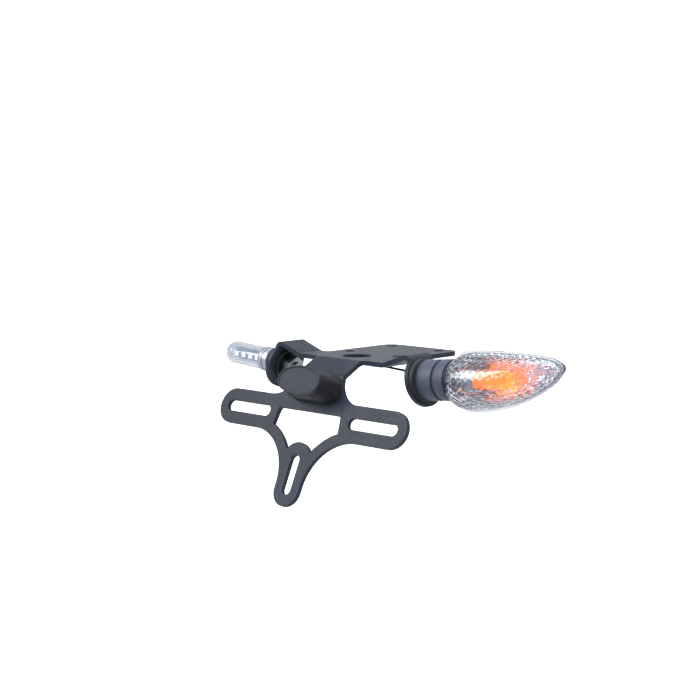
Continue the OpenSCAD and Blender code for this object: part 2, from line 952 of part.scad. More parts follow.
module slim_place() {
    in_place()
        on_axis(-1, slim_lean)
            children();
}

slim_pin = 6.5;
module slim_root() {
    bevel = 0.6;
    back = foot_back(slim_root_r, slim_lean);
    color("#1d2025")
        slim_place()
            difference() {
                lathe([[-back, 0], [-back, slim_root_r], [slim_root_l - bevel, slim_root_r],
                    [slim_root_l, slim_root_r - bevel], [slim_root_l, 0]]);
                tab_cut(slim_lean, slim_pin);
            }
}

slim_lens_s = slim_root_l + slim_collar_l;
slim_skin = 1.2;
slim_cavity_r = slim_lens_r - slim_skin - slip - 0.9;
collar_floor = 2;
module slim_collar() {
    groove = slim_root_l + slim_collar_l / 2;
    cup_r = slim_lens_r - slim_skin;
    color("#b9bec8")
        slim_place()
            lathe([[slim_root_l, 0], [slim_root_l, slim_collar_r - 0.4], [slim_root_l + 0.4, slim_collar_r],
                [groove - 0.5, slim_collar_r], [groove - 0.5, slim_collar_r - 0.5],
                [groove + 0.5, slim_collar_r - 0.5], [groove + 0.5, slim_collar_r],
                [slim_lens_s - 0.4, slim_collar_r], [slim_lens_s, slim_collar_r - 0.4],
                [slim_lens_s, cup_r], [slim_root_l + collar_floor, cup_r], [slim_root_l + collar_floor, 0]]);
}

module slim_lens() {
    middle = slim_tip - slim_lens_r;
    tail = slim_lens_r - slim_skin - slip;
    color([0.84, 0.89, 0.96, 0.45])
        slim_place()
            difference() {
                union() {
                    turned(slim_lens_s, middle, slim_lens_r);
                    translate([middle, 0, 0])
                        sphere(r = slim_lens_r);
                    turned(slim_lens_s - 4, slim_lens_s + over, tail);
                }
                turned(slim_lens_s - 4 - over, middle, slim_cavity_r);
                translate([middle, 0, 0])
                    sphere(r = slim_cavity_r);
            }
}

slim_board_y = 1;
slim_board_t = 1.2;
slim_board_half = 3.9;
slim_board_end = slim_tip - slim_lens_r + 1.2;
slim_chip = [2.6, 1, 2.6];
module slim_board() {
    start = slim_root_l + collar_floor;
    color("#e9ebee")
        slim_place()
            translate([start, slim_board_y, -slim_board_half])
                cube([slim_board_end - start, slim_board_t, 2 * slim_board_half]);
}

module slim_chips_set() {
    first = slim_lens_s + 6.8;
    pitch = (slim_board_end - slim_chip[0] - first) / (slim_chips - 1);
    low = 1.2;
    color("#fff4d8")
        slim_place()
            for (i = [0:slim_chips - 1])
                translate([first + i * pitch, slim_board_y - slim_chip[1], -slim_chip[2] / 2 - low])
                    cube(slim_chip);
}

slim_nut_s = -sheet_t - slim_rubber_t - washer_t;
module slim_stud() {
    color("#c3c7ce")
        tab_place(-1)
            hollow_stud(slim_nut_s - nut_t - 2, slim_pin);
}

module slim_rubber_washer() {
    color("#15171b")
        tab_place(-1)
            ring(-sheet_t - slim_rubber_t, -sheet_t, slim_rubber_r, stud_d / 2 + 0.1);
}

module slim_steel_washer() {
    color("#9aa0a8")
        tab_place(-1)
            ring(slim_nut_s, slim_nut_s + washer_t, slim_steel_r, stud_d / 2 + 0.1);
}

module slim_nut() {
    color("#a9aeb6")
        tab_place(-1)
            hex_nut(slim_nut_s);
}

main_bracket();
plate_lamp_gasket();
plate_lamp_housing();
plate_lamp_cap();
plate_lamp_window();
plate_lamp_board();
plate_lamp_chips();
plate_lamp_screws();
bulb_spacer();
bulb_stem();
bulb_housing();
bulb_seal();
bulb_lens();
bulb_reflector();
bulb_socket();
amber_bulb();
bulb_stud();
bulb_backing_washer();
bulb_nut();
bulb_lead();
lead_connector();
slim_root();
slim_collar();
slim_lens();
slim_board();
slim_chips_set();
slim_stud();
slim_rubber_washer();
slim_steel_washer();
slim_nut();
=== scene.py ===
# %% [markdown]
# # A motorcycle tail tidy
# The real thing is one laser-cut and folded steel sheet that bolts under the tail.
# It carries the number plate, a small plate lamp and two turn indicators.
# The exact solids come from CAD as a fixed frame, in metres, and this lesson
# dresses them: finer shapes where light shows them, and a real finish for each.

# %% Load the frame
import math

import bmesh
import bpy
from mathutils import Matrix, Vector


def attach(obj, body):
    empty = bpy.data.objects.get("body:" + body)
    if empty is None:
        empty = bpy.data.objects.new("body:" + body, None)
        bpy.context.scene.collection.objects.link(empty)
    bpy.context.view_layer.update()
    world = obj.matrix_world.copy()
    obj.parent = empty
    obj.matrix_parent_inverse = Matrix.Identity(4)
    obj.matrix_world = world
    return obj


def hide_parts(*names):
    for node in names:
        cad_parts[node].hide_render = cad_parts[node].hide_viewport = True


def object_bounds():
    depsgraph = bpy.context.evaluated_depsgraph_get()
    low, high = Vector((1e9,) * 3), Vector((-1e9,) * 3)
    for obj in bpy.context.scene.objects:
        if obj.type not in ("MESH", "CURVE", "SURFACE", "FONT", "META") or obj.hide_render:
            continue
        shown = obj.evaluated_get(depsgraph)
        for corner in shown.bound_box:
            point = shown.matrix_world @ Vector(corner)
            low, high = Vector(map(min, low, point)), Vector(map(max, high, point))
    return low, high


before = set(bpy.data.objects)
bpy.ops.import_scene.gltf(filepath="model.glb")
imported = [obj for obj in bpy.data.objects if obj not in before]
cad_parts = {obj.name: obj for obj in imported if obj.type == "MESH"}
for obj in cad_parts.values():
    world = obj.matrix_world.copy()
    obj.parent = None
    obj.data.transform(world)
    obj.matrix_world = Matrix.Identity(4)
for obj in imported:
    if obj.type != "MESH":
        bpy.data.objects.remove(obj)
cad_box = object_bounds()
print("CAD box", [list(corner) for corner in cad_box])

# %% [markdown]
# ## The camera
# The photograph was taken from behind the machine's right side, a little above.
# The hanger is a flat plate with a known outline, so its outline gave this place
# and lens. The camera comes first, because every piece is judged through it.

# %% Camera
camera_place = Vector((0.606715, -0.678441, 0.107505))
camera_aim = Vector((-0.68482, 0.71930, -0.11674))
camera = bpy.data.objects.new("camera", bpy.data.cameras.new("camera"))
camera.data.lens = 73.55
camera.data.sensor_width = 36
camera.data.clip_start = 0.05
camera.data.clip_end = 20
camera.location = camera_place
camera.rotation_euler = camera_aim.to_track_quat("-Z", "Y").to_euler()
bpy.context.scene.collection.objects.link(camera)
bpy.context.scene.camera = camera
print("camera distance", round(camera_place.length, 3))

# %% [markdown]
# ## Modelling by hand, in code
# Blender's operators act on what is selected, as a hand does. These helpers select
# one object, name it, put its turn into its mesh, pick edges and extrude them.
# Sizes are in millimetres wherever a piece is made, and MM turns them to metres.

# %% Helpers for modelling
MM = 0.001


def only(obj):
    """Selects this object alone and makes it the active one."""
    bpy.ops.object.select_all(action="DESELECT")
    obj.select_set(True)
    bpy.context.view_layer.objects.active = obj


def new_piece(name):
    """Names the primitive that was just added, with its mesh."""
    piece = bpy.context.object
    piece.name = piece.data.name = name
    return piece


def settle(piece):
    """Puts an object's place, turn and size into its mesh."""
    only(piece)
    bpy.ops.object.transform_apply(location=True, rotation=True, scale=True)


def pick_edges(piece, test):
    """In edit mode, selects the edges whose middle passes the test."""
    bpy.ops.mesh.select_all(action="DESELECT")
    bpy.ops.mesh.select_mode(type="EDGE")
    shape = bmesh.from_edit_mesh(piece.data)
    for edge in shape.edges:
        if test((edge.verts[0].co + edge.verts[1].co) / 2):
            edge.select_set(True)
    shape.select_flush_mode()
    bmesh.update_edit_mesh(piece.data)


def extrude_by(x, y, z):
    """In edit mode, extrudes what is selected by a step in metres."""
    bpy.ops.mesh.extrude_region_move(TRANSFORM_OT_translate={"value": (x, y, z)})


# %% [markdown]
# ## Floor and backdrop
# A part like this is photographed on a white sweep: a floor that curves up into
# the backdrop, so that no edge shows behind it. It is one plane whose far edge is
# extruded up in small turns, and then it is turned to face the camera. It hangs
# well below the part, as the real part hangs from the tail, so that its shadow
# stays soft.

# %% White sweep
SWEEP_SIDE, SWEEP_DROP = 5.0, 0.16
SWEEP_BEND, BEND_STEPS = 0.6, 12
BACKDROP_HEIGHT = 4
bpy.ops.object.select_all(action="DESELECT")
bpy.ops.mesh.primitive_plane_add(
    size=2 * SWEEP_SIDE, location=(0, 0, cad_box[0].z - SWEEP_DROP))
sweep = new_piece("white_sweep")
settle(sweep)
bpy.ops.object.mode_set(mode="EDIT")
pick_edges(sweep, lambda middle: middle.y > SWEEP_SIDE - 0.1)
for step in range(BEND_STEPS):
    turn = math.radians(90 * (step + 0.5) / BEND_STEPS)
    stride = SWEEP_BEND * math.radians(90) / BEND_STEPS
    extrude_by(0, stride * math.cos(turn), stride * math.sin(turn))
extrude_by(0, 0, BACKDROP_HEIGHT)
bpy.ops.object.mode_set(mode="OBJECT")
sweep.rotation_euler.z = math.atan2(-camera_aim.x, camera_aim.y)
settle(sweep)
bpy.ops.object.shade_smooth()
print("sweep faces", len(sweep.data.polygons))

# %% [markdown]
# ## Light
# The photo's light is broad: it comes from the left and from above, and no shadow
# has a hard edge. So large softboxes stand on those sides, a weak one fills in
# from the right, and one points away from the part and washes the backdrop.

# %% Lights
PART_MIDDLE = (0, 0, -0.03)
BACKDROP_SPOT = (-3.4, 4.4, 0.6)


def softbox(name, place, target, size, power):
    """An area light in watts that looks at a point, as a softbox on a stand does."""
    lamp = bpy.data.lights.new(name, "AREA")
    lamp.shape = "RECTANGLE"
    lamp.size, lamp.size_y = size
    lamp.energy = power
    stand = bpy.data.objects.new(name, lamp)
    stand.location = place
    look = Vector(target) - Vector(place)
    stand.rotation_euler = look.to_track_quat("-Z", "Y").to_euler()
    bpy.context.scene.collection.objects.link(stand)
    print(name, power, "W")


softbox("key_from_the_left", (-1.2, -1.6, 1.2), PART_MIDDLE, (1.2, 1.2), 30)
softbox("top", (0.2, 0.1, 1.5), PART_MIDDLE, (1.6, 1.6), 22)
softbox("rear_right_fill", (1.6, -0.9, 0.5), PART_MIDDLE, (1.0, 1.0), 7)
softbox("backdrop_wash", (-1.5, 1.2, 2.2), BACKDROP_SPOT, (3.0, 1.0), 160)
world = bpy.data.worlds.new("studio")
bpy.context.scene.world = world
world.use_nodes = True
bpy.context.scene.view_settings.view_transform = "Standard"

# %% [markdown]
# ## Finishes
# Each finish is a Principled shader with a few nodes behind it. One helper turns a
# hex colour, as seen on a screen, to the linear colour that the shader wants. One
# adds a node with its settings and links. The last one wires up a whole surface,
# because on a real one colour, gloss and relief all follow the same grain.

# %% Helpers for finishes
VALLEY, PEAK = 0.35, 0.65  # where a grain's two colours start
GRAIN_LOW, GRAIN_HIGH = 0.3, 0.7  # most values of a grain lie between these


def hex_linear(code):
    """sRGB hex colour to linear, with alpha 1."""
    parts = [int(code[i:i + 2], 16) / 255 for i in (1, 3, 5)]
    linear = [c / 12.92 if c <= 0.04045 else ((c + 0.055) / 1.055) ** 2.4 for c in parts]
    return (*linear, 1.0)


def add_node(tree, kind, feeds=None, **settings):
    """Adds a node. A feed is an input's value, or (node, output) to link it to."""
    made = tree.nodes.new("ShaderNode" + kind)
    for key, value in settings.items():
        setattr(made, key, value)
    for key, value in (feeds or {}).items():
        if isinstance(value, tuple) and isinstance(value[0], bpy.types.Node):
            tree.links.new(value[0].outputs[value[1]], made.inputs[key])
        else:
            made.inputs[key].default_value = value
    return made


def finish(name, **sockets):
    """Starts a finish: a material with its shader, and the place on the piece in metres."""
    made = bpy.data.materials.new(name)
    made.use_nodes = True
    tree = made.node_tree
    shader = tree.nodes["Principled BSDF"]
    for key, value in sockets.items():
        shader.inputs[key.replace("_", " ")].default_value = value
    place = (add_node(tree, "TexCoord"), "Object")
    return made, tree, shader, place


def per_mm(size_mm):
    """The scale of a pattern whose blotches are this many millimetres across."""
    return 1 / (size_mm * MM)


def surface(tree, shader, colour, gloss=None, relief=None):
    """Wires up a surface. Its colour, gloss and relief each follow a pattern.

    A pattern is (node, output). colour is (pattern, low hex, high hex), and then
    where these two start, if that isn't at the usual valleys and peaks of a grain.
    gloss is (pattern, low, high), and relief is (pattern, height in mm)."""
    pattern, low, high, *reach = colour
    ramp = add_node(tree, "ValToRGB", {"Fac": pattern})
    stops = ramp.color_ramp.elements
    stops[0].position, stops[1].position = reach or (VALLEY, PEAK)
    stops[0].color, stops[1].color = hex_linear(low), hex_linear(high)
    tree.links.new(ramp.outputs["Color"], shader.inputs["Base Color"])
    if gloss:
        pattern, low, high = gloss
        rough = add_node(tree, "MapRange", {
            "Value": pattern, "From Min": GRAIN_LOW, "From Max": GRAIN_HIGH,
            "To Min": low, "To Max": high})
        tree.links.new(rough.outputs["Result"], shader.inputs["Roughness"])
    if relief:
        pattern, height_mm = relief
        bump = add_node(tree, "Bump", {
            "Height": pattern, "Distance": height_mm * MM, "Strength": 1.0})
        tree.links.new(bump.outputs["Normal"], shader.inputs["Normal"])


# %% [markdown]
# ### Powder coat
# The bracket is steel, sprayed with satin black powder that is melted in an oven.
# It flows into a very fine orange peel, about 1.5 mm from peak to peak. Under a
# bright sky it looks slate grey. Two grains do it: the peel for gloss and relief,
# and a slow one, as wide as a thumb, for small changes of colour.

# %% Powder coat
powder_coat, tree, shader, place = finish(
    "satin_powder_coat", IOR=1.5, Specular_IOR_Level=0.25)
peel = (add_node(tree, "TexNoise", {
    "Vector": place, "Scale": per_mm(1.5), "Detail": 3.0}), "Fac")
cloud = (add_node(tree, "TexNoise", {
    "Vector": place, "Scale": per_mm(22), "Detail": 2.0}), "Fac")
surface(tree, shader, (cloud, "#1d2432", "#252d3c"),
        gloss=(peel, 0.38, 0.5), relief=(peel, 0.035))

# %% [markdown]
# ### Moulded plastics and rubber
# ABS and nylon leave a spark-eroded mould with a fine matt grain, and rubber is
# duller and darker. The grain of the real mould is near 0.1 mm, too fine for this
# picture, so it is drawn 0.3 to 0.8 mm wide. One grain drives colour, gloss and
# relief together.

# %% Moulded finishes
GLOSS_SWING = 0.06


def moulded(name, low, high, size_mm, rough, height_mm, **sockets):
    """A moulded surface: one grain drives its colour, gloss and relief."""
    made, tree, shader, place = finish(name, **sockets)
    skin = (add_node(tree, "TexNoise", {
        "Vector": place, "Scale": per_mm(size_mm), "Detail": 3.0}), "Fac")
    surface(tree, shader, (skin, low, high),
            gloss=(skin, rough - GLOSS_SWING, rough + GLOSS_SWING),
            relief=(skin, height_mm))
    return made


# ABS of the plate lamp's body: near black, with a broad and weak shine.
lamp_abs = moulded("spark_eroded_abs", "#0d1016", "#12161e", 0.4, 0.5, 0.02,
                   IOR=1.53, Specular_IOR_Level=0.25)
# The same ABS on the lamp's cap, painted greyer than the body for the sky light on its flat
# face.
cap_abs_painted_sky_light = moulded("spark_eroded_abs_cap_painted_sky_light", "#171d2b", "#1d2433", 0.4, 0.45, 0.02,
                  IOR=1.53, Specular_IOR_Level=0.25)
# EPDM rubber, pressed in a mould: black and dull, so it swallows the light.
spacer_rubber = moulded("black_epdm_rubber", "#121418", "#1a1d22", 0.6, 0.62, 0.02, IOR=1.52)
# The stem's EPDM is slate grey, with a soft shine along each turned band.
stem_rubber = moulded("grey_epdm_rubber", "#373e50", "#424b5f", 0.5, 0.5, 0.02, IOR=1.52)
# PVC drawn over the wire: smoother than the rubber, so it shows a thin bright line.
lead_pvc = moulded("black_pvc_sleeve", "#131518", "#1b1e22", 0.5, 0.45, 0.01, IOR=1.53)
# Nylon without dye is ivory, and a little waxy.
connector_nylon = moulded("natural_nylon", "#d9d6ca", "#e6e3d8", 0.5, 0.5, 0.01, IOR=1.53)
# Solder mask is an even lacquer on the boards: smooth, with the board's own colour.
solder_mask_white = moulded("grey_white_solder_mask", "#b9c1cf", "#c8cfdb", 0.8, 0.4, 0.006,
                            IOR=1.5)
solder_mask_green = moulded("green_solder_mask", "#1f6b3d", "#2b7f4b", 0.8, 0.3, 0.006, IOR=1.5)
# Light chips are cast in silicone: yellow with phosphor, or white with a painted glow that
# makes them stand out bright.
chip_phosphor = moulded("yellow_phosphor", "#f2dc8c", "#fdf0b4", 0.3, 0.35, 0.01, IOR=1.5)
chip_white_painted_glow = moulded("white_chip_silicone_painted_glow", "#f3f5f8", "#ffffff", 0.3, 0.3, 0.01,
                     IOR=1.41, Emission_Strength=0.8)
# The seal's silicone is milky, and so light that it doesn't show through the lens.
seal_silicone = moulded("white_silicone", "#c4c9d2", "#d3d8e0", 0.6, 0.45, 0.01, IOR=1.41)

# %% [markdown]
# ### Metals
# Zinc plating shows small crystals, the collar is blasted and anodised, and the
# housing is plastic under a thin satin chrome. Cells draw the crystals and the
# blast marks, coarser than they are, so that they show. A metal's colour is in its
# base colour, and its IOR is left alone.

# %% Metal finishes
METAL_SWING = 0.05


def plated(name, low, high, size_mm, rough, height_mm):
    """A metal whose crystals or blast marks change its colour, gloss and height."""
    made, tree, shader, place = finish(name, Metallic=1.0)
    crystals = (add_node(tree, "TexVoronoi", {
        "Vector": place, "Scale": per_mm(size_mm)}), "Distance")
    surface(tree, shader, (crystals, low, high, 0.0, 1.0),
            gloss=(crystals, rough - METAL_SWING, rough + METAL_SWING),
            relief=(crystals, height_mm))
    return made


# Bright zinc on screws, studs and nuts: light grey, with a blurred reflection.
zinc_plate = plated("zinc_plated_steel", "#8d9299", "#a9aeb6", 0.8, 0.34, 0.004)
# Black-passivated zinc on the washers: dark, but it still gleams as a metal does.
black_zinc = plated("black_zinc_plated_steel", "#2c2f35", "#3d4148", 0.8, 0.4, 0.004)
# Blasted, then anodised aluminium on the collar: pale, even and satin.
anodised = plated("blasted_anodised_aluminium", "#9aa1ae", "#b7bdc9", 0.5, 0.38, 0.004)
# Satin chrome on the housing has no crystals, so its cells are wide and faint.
shell_chrome = plated("satin_chromed_plastic", "#c3c8d2", "#d4d9e2", 30.0, 0.2, 0.001)

# %% [markdown]
# The reflector is plastic with a vacuum-metallised skin, which is nearly a mirror.
# Its facets are modelled. In the finish, two sets of fine waves at right angles
# break each facet's reflection into smaller glints.

# %% Reflector finish
WAVE_UNIT = math.tau / 20  # length of one wave of the texture at scale 1
WAVE_LONG, WAVE_HIGH = 2.8, 2.4
reflector_skin, tree, shader, place = finish("vacuum_metallised_plastic", Metallic=0.7)
sheen = (add_node(tree, "TexNoise", {
    "Vector": place, "Scale": per_mm(6), "Detail": 2.0}), "Fac")
waves = [add_node(tree, "TexWave", {
    "Vector": place, "Scale": WAVE_UNIT * per_mm(size_mm), "Distortion": 0.0},
    bands_direction=way, wave_profile="SIN")
    for way, size_mm in (("X", WAVE_LONG), ("Z", WAVE_HIGH))]
ripple = add_node(tree, "Math", {0: (waves[0], "Fac"), 1: 0.5, 2: (waves[1], "Fac")},
                  operation="MULTIPLY_ADD")
surface(tree, shader, (sheen, "#e3eaf6", "#f6f9ff"),
        gloss=(sheen, 0.05, 0.12), relief=((ripple, "Value"), 0.12))

# %% [markdown]
# ### Clear and amber plastics
# The lenses are clear polycarbonate, IOR 1.585. Light goes through them and bends,
# so they are real shells with two faces. Their colour follows the angle of view and
# is darker where a wall is seen at a slant. In the amber lacquer that is the long
# way light has through it; in the clear lenses it is partly that and mostly painted
# shade for their dark edges. A slow ripple stands for the flow of the moulding.

# %% Clear finishes
GRAZING = 0.85


def clear(name, code, edge_code_absorption_and_painted_shade, rough, ior, flow_mm, start=0.25, **sockets):
    """A see-through plastic or glass with a slow ripple, darker at its edges."""
    made, tree, shader, place = finish(
        name, Transmission_Weight=1.0, IOR=ior, Roughness=rough, **sockets)
    slant = (add_node(tree, "LayerWeight", {"Blend": 0.3}), "Facing")
    flow = (add_node(tree, "TexNoise", {
        "Vector": place, "Scale": per_mm(flow_mm), "Detail": 1.0}), "Fac")
    surface(tree, shader, (slant, code, edge_code_absorption_and_painted_shade, start, GRAZING), relief=(flow, 0.01))
    return made


# Polished polycarbonate of the two lenses: clear, with bright edges, and dark edges whose
# colour is painted shade.
lens_clear_painted_edge_shade = clear("clear_polycarbonate", "#edf2fb", "#75819a", 0.03, 1.585, 9.0)
tube_clear_painted_edge_shade = clear("clear_polycarbonate_tube", "#e2e8f3", "#4d576b", 0.03, 1.585, 9.0, 0.4)
# The lamp's window is frosted, and its dark colour is painted shade for the shadow under the
# lamp, so its board is only a glimmer.
window_painted_shade = clear("polycarbonate_painted_shade", "#33373e", "#22252b", 0.5, 1.45, 9.0)
# The bulb's glass is dipped in amber lacquer, and its emission is a painted glow for the light
# that gathers in it.
amber_glass = clear("amber_lacquered_glass_painted_glow", "#ff8a1c", "#e06a10", 0.12, 1.52, 4.0,
                    Emission_Color=hex_linear("#ff7a10"), Emission_Strength=0.9)

# %% [markdown]
# ## Shaping helpers
# Most pieces here are folded, turned or moulded, and helpers do what hands would
# repeat. The first copies a CAD solid. Its mesh is loose triangles, so the copy is
# merged and gets whole flat faces again, and then its edges can be rounded.

# %% Copy and clean a CAD solid
MERGE_GAP = 2e-6
FLAT_ANGLE = math.radians(0.4)


def cad_copy(node_name, piece_name):
    """A copy of a CAD node as one closed mesh with whole flat faces."""
    piece = bpy.data.objects.new(piece_name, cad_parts[node_name].data.copy())
    piece.data.name = piece_name
    bpy.context.scene.collection.objects.link(piece)
    only(piece)
    if piece.data.has_custom_normals:
        bpy.ops.mesh.customdata_custom_splitnormals_clear()
    bpy.ops.object.mode_set(mode="EDIT")
    bpy.ops.mesh.select_all(action="SELECT")
    bpy.ops.mesh.remove_doubles(threshold=MERGE_GAP)
    bpy.ops.mesh.dissolve_limited(angle_limit=FLAT_ANGLE)
    bpy.ops.object.mode_set(mode="OBJECT")
    return piece


# %% [markdown]
# A turned piece is made as on a lathe: half of its section is drawn from one point,
# extruded from corner to corner, and spun round the axis.

# %% Turn a shape from half a section
def first_point(piece_name, x, y, z):
    """Starts a piece in edit mode from one point, a plane merged at its middle."""
    bpy.ops.object.select_all(action="DESELECT")
    bpy.ops.mesh.primitive_plane_add(size=MM)
    piece = new_piece(piece_name)
    bpy.ops.object.mode_set(mode="EDIT")
    bpy.ops.mesh.select_mode(type="VERT")
    bpy.ops.mesh.select_all(action="SELECT")
    bpy.ops.mesh.merge(type="CENTER")
    bpy.ops.transform.translate(value=(x, y, z))
    return piece


def close_up(piece):
    """Merges what meets, drops loose edges, points faces outwards, leaves edit mode."""
    bpy.ops.mesh.select_all(action="SELECT")
    bpy.ops.mesh.remove_doubles(threshold=2e-7)
    bpy.ops.mesh.dissolve_degenerate(threshold=1e-8)
    bpy.ops.mesh.select_all(action="SELECT")
    bpy.ops.mesh.delete_loose(use_verts=True, use_edges=True, use_faces=False)
    bpy.ops.mesh.select_all(action="SELECT")
    bpy.ops.mesh.normals_make_consistent(inside=False)
    bpy.ops.object.mode_set(mode="OBJECT")
    return piece


def turned(piece_name, section, steps=96):
    """Spins half a section, given as distances along X and radii in mm, about X."""
    piece = first_point(piece_name, section[0][0] * MM, 0, section[0][1] * MM)
    for before, now in zip(section, section[1:]):
        extrude_by((now[0] - before[0]) * MM, 0, (now[1] - before[1]) * MM)
    bpy.ops.mesh.select_all(action="SELECT")
    bpy.ops.mesh.spin(steps=steps, angle=math.tau, center=(0, 0, 0), axis=(1, 0, 0))
    return close_up(piece)


# %% [markdown]
# The last helpers apply a modifier at once, round the sharp edges, put a piece in
# its place, and dress it: shade it, give it its finish and body, and let it
# stand for its CAD nodes.

# %% Round, place and dress a piece
def apply_modifier(piece, kind, **settings):
    """Adds a modifier with its settings and applies it at once."""
    only(piece)
    modifier = piece.modifiers.new(kind.lower(), kind)
    for key, value in settings.items():
        setattr(modifier, key, value)
    bpy.ops.object.modifier_apply(modifier=modifier.name)


def round_edges(piece, radius_mm, angle):
    """Rounds every edge sharper than the angle, in two steps."""
    apply_modifier(piece, "BEVEL", width=radius_mm * MM, segments=2,
                   limit_method="ANGLE", angle_limit=math.radians(angle),
                   use_clamp_overlap=False)


def set_down(piece, place):
    """Puts a piece that was made at the origin in its place, in its mesh."""
    piece.matrix_world = place
    settle(piece)


def dress(piece, material, slot, *nodes, smooth=30, level=False):
    """Shades a piece, gives it its finish, and stands it for its CAD nodes.

    level=True keeps wide flat faces flat beside their rounded edges."""
    only(piece)
    bpy.ops.object.shade_smooth_by_angle(angle=math.radians(smooth))
    if level:
        apply_modifier(piece, "WEIGHTED_NORMAL", weight=100, keep_sharp=True)
    piece.data.materials.clear()
    piece.data.materials.append(material)
    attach(piece, "root")
    if nodes:
        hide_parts(*nodes)
    print(piece.name, len(piece.data.polygons), "faces")


# %% [markdown]
# ## Places on the bracket
# The lamp stands on the leaning hanger. The round tabs lean too, and each indicator
# starts at the middle of its tab but points nearly level, so its foot is a wedge.
# Each place is a matrix, so that a piece can be made at the origin along X.

# %% Places
BOLTS_FROM_SLOTS = Vector((0, 78.007, 33.4))
HANGER_LEAN = math.radians(24.3)
LAMP_UP = 18.0
SEAT = Vector((60.8, 38.007, 24.3))
TAB_LEAN, BULB_LEAN, SLIM_LEAN = 13.6, 5.7, 4.0
RIGHT, LEFT = 1, -1
across = Vector((1, 0, 0))
up_hanger = Vector((0, math.sin(HANGER_LEAN), math.cos(HANGER_LEAN)))


def frame_at(origin_mm, x_axis, y_axis):
    """The place whose X and Y are given, with its origin in mm from the slot line."""
    x_axis, y_axis = Vector(x_axis), Vector(y_axis)
    turn = Matrix((x_axis, y_axis, x_axis.cross(y_axis))).transposed().to_4x4()
    return Matrix.Translation((Vector(origin_mm) - BOLTS_FROM_SLOTS) * MM) @ turn


def seat_place(side, lean):
    """An axis outwards through a seat on one side. Y runs forwards."""
    lean = math.radians(lean)
    outwards = (side * math.cos(lean), 0, math.sin(lean))
    return frame_at((side * SEAT.x, SEAT.y, SEAT.z), outwards, (0, 1, 0))


lamp_place = frame_at(LAMP_UP * up_hanger, across, across.cross(up_hanger))
bulb_place = seat_place(RIGHT, BULB_LEAN)
bulb_tab = seat_place(RIGHT, TAB_LEAN)
slim_place = seat_place(LEFT, SLIM_LEAN)
slim_tab = seat_place(LEFT, TAB_LEAN)
for name, place in (("lamp", lamp_place), ("bulb", bulb_place), ("slim", slim_place)):
    print(name, "stands at", [round(c, 4) for c in place.translation])

# %% [markdown]
# ## The lead
# The bulb indicator's lead leaves its hollow stud and runs under the arm and the
# plate to a connector. Its route is a row of points, in mm, that repeats the CAD
# route: out of the stud, up under the arm, and along under the plate.

# %% Route of the lead
STUD_REACH = 10.3
PLATE_UNDERSIDE = 30.4
lean = math.radians(TAB_LEAN)
tab_axis = Vector((math.cos(lean), 0, math.sin(lean)))
stud_mouth = SEAT - STUD_REACH * tab_axis
under_plate = Vector((0, SEAT.y, PLATE_UNDERSIDE))
lead_route = [stud_mouth + 2.3 * tab_axis, stud_mouth + 0.3 * tab_axis]
lead_route += [stud_mouth + Vector(p) for p in (
    (-1.4, 0, -0.05), (-2.8, 0.05, 0.7), (-3.8, 0.15, 2.3), (-4.6, 0.3, 4.1),
    (-5.8, 0.45, 5.5), (-7.6, 0.6, 6.5))]
lead_route += [under_plate + Vector(p) for p in (
    (39, 0.6, -1.7), (35, 0.6, -1.4), (30, 0.6, -1.1), (26, 0.8, -0.9),
    (21, 2.2, -0.9), (16.5, 4.6, -0.9), (12, 8, -0.9), (8, 11.6, -1.2),
    (4.6, 14.4, -1.8), (2, 16.6, -2.5), (0.4, 18.8, -2.9), (0, 21, -3), (0, 23, -3))]
lead_points = [(p - BOLTS_FROM_SLOTS) * MM for p in lead_route]
lead_length = sum((b - a).length for a, b in zip(lead_points, lead_points[1:]))
print("lead", round(lead_length, 4), "m")

# %% [markdown]
# A PVC sleeve is drawn over the wire as one round skin. So the lead is a curve with
# a round bevel, which stays one smooth line, and it is made a mesh at the end.

# %% Lead
LEAD_RADIUS = 0.75
lead_curve = bpy.data.curves.new("bulb_lead", "CURVE")
lead_curve.dimensions = "3D"
lead_curve.bevel_depth = LEAD_RADIUS * MM
lead_curve.bevel_resolution = 4
lead_curve.use_fill_caps = True
line = lead_curve.splines.new("BEZIER")
line.bezier_points.add(len(lead_points) - 1)
for knot, point in zip(line.bezier_points, lead_points):
    knot.co = point
    knot.handle_left_type = knot.handle_right_type = "AUTO"
line.resolution_u = 6
lead = bpy.data.objects.new("lead_sleeve", lead_curve)
bpy.context.scene.collection.objects.link(lead)
bpy.context.view_layer.update()
only(lead)
bpy.ops.object.convert(target="MESH")
bpy.ops.object.mode_set(mode="EDIT")
close_up(lead)
dress(lead, lead_pvc, "lead_black", "bulb_lead", smooth=60)

# %% [markdown]
# ## The bracket
# A laser cuts the flat sheet, and a press folds it. The cut edges are broken by
# the powder, which leaves a small round on them. So the exact CAD sheet is copied,
# cleaned and given a 0.3 mm round, and its folds are shaded smooth.

# %% Bracket
bracket = cad_copy("main_bracket", "folded_sheet")
round_edges(bracket, 0.3, 40)
dress(bracket, powder_coat, "bracket_steel", "main_bracket", smooth=35, level=True)

# %% [markdown]
# ## The plate lamp
# An oval ABS box on a rubber gasket, with a cap whose face is sunk inside a thin
# rim. The exact ovals of box and gasket come from CAD, and the rounding of the
# mould is added here.

# %% Plate lamp
for node_name, name, radius, material, slot in (
        ("plate_lamp_gasket", "lamp_gasket", 0.2, spacer_rubber, "rubber_black"),
        ("plate_lamp_housing", "lamp_body", 0.3, lamp_abs, "lamp_plastic")):
    part = cad_copy(node_name, name)
    round_edges(part, radius, 40)
    dress(part, material, slot, node_name, smooth=35, level=True)

# %% [markdown]
# The cap is one face, pushed and pulled. An upright edge is extruded along the
# outline to make the face. Then the face is drawn out and resized, layer by layer:
# back and forth for the ring that centres it in the body, out to the oval, forward
# to the rim, and in again to the sunk middle.

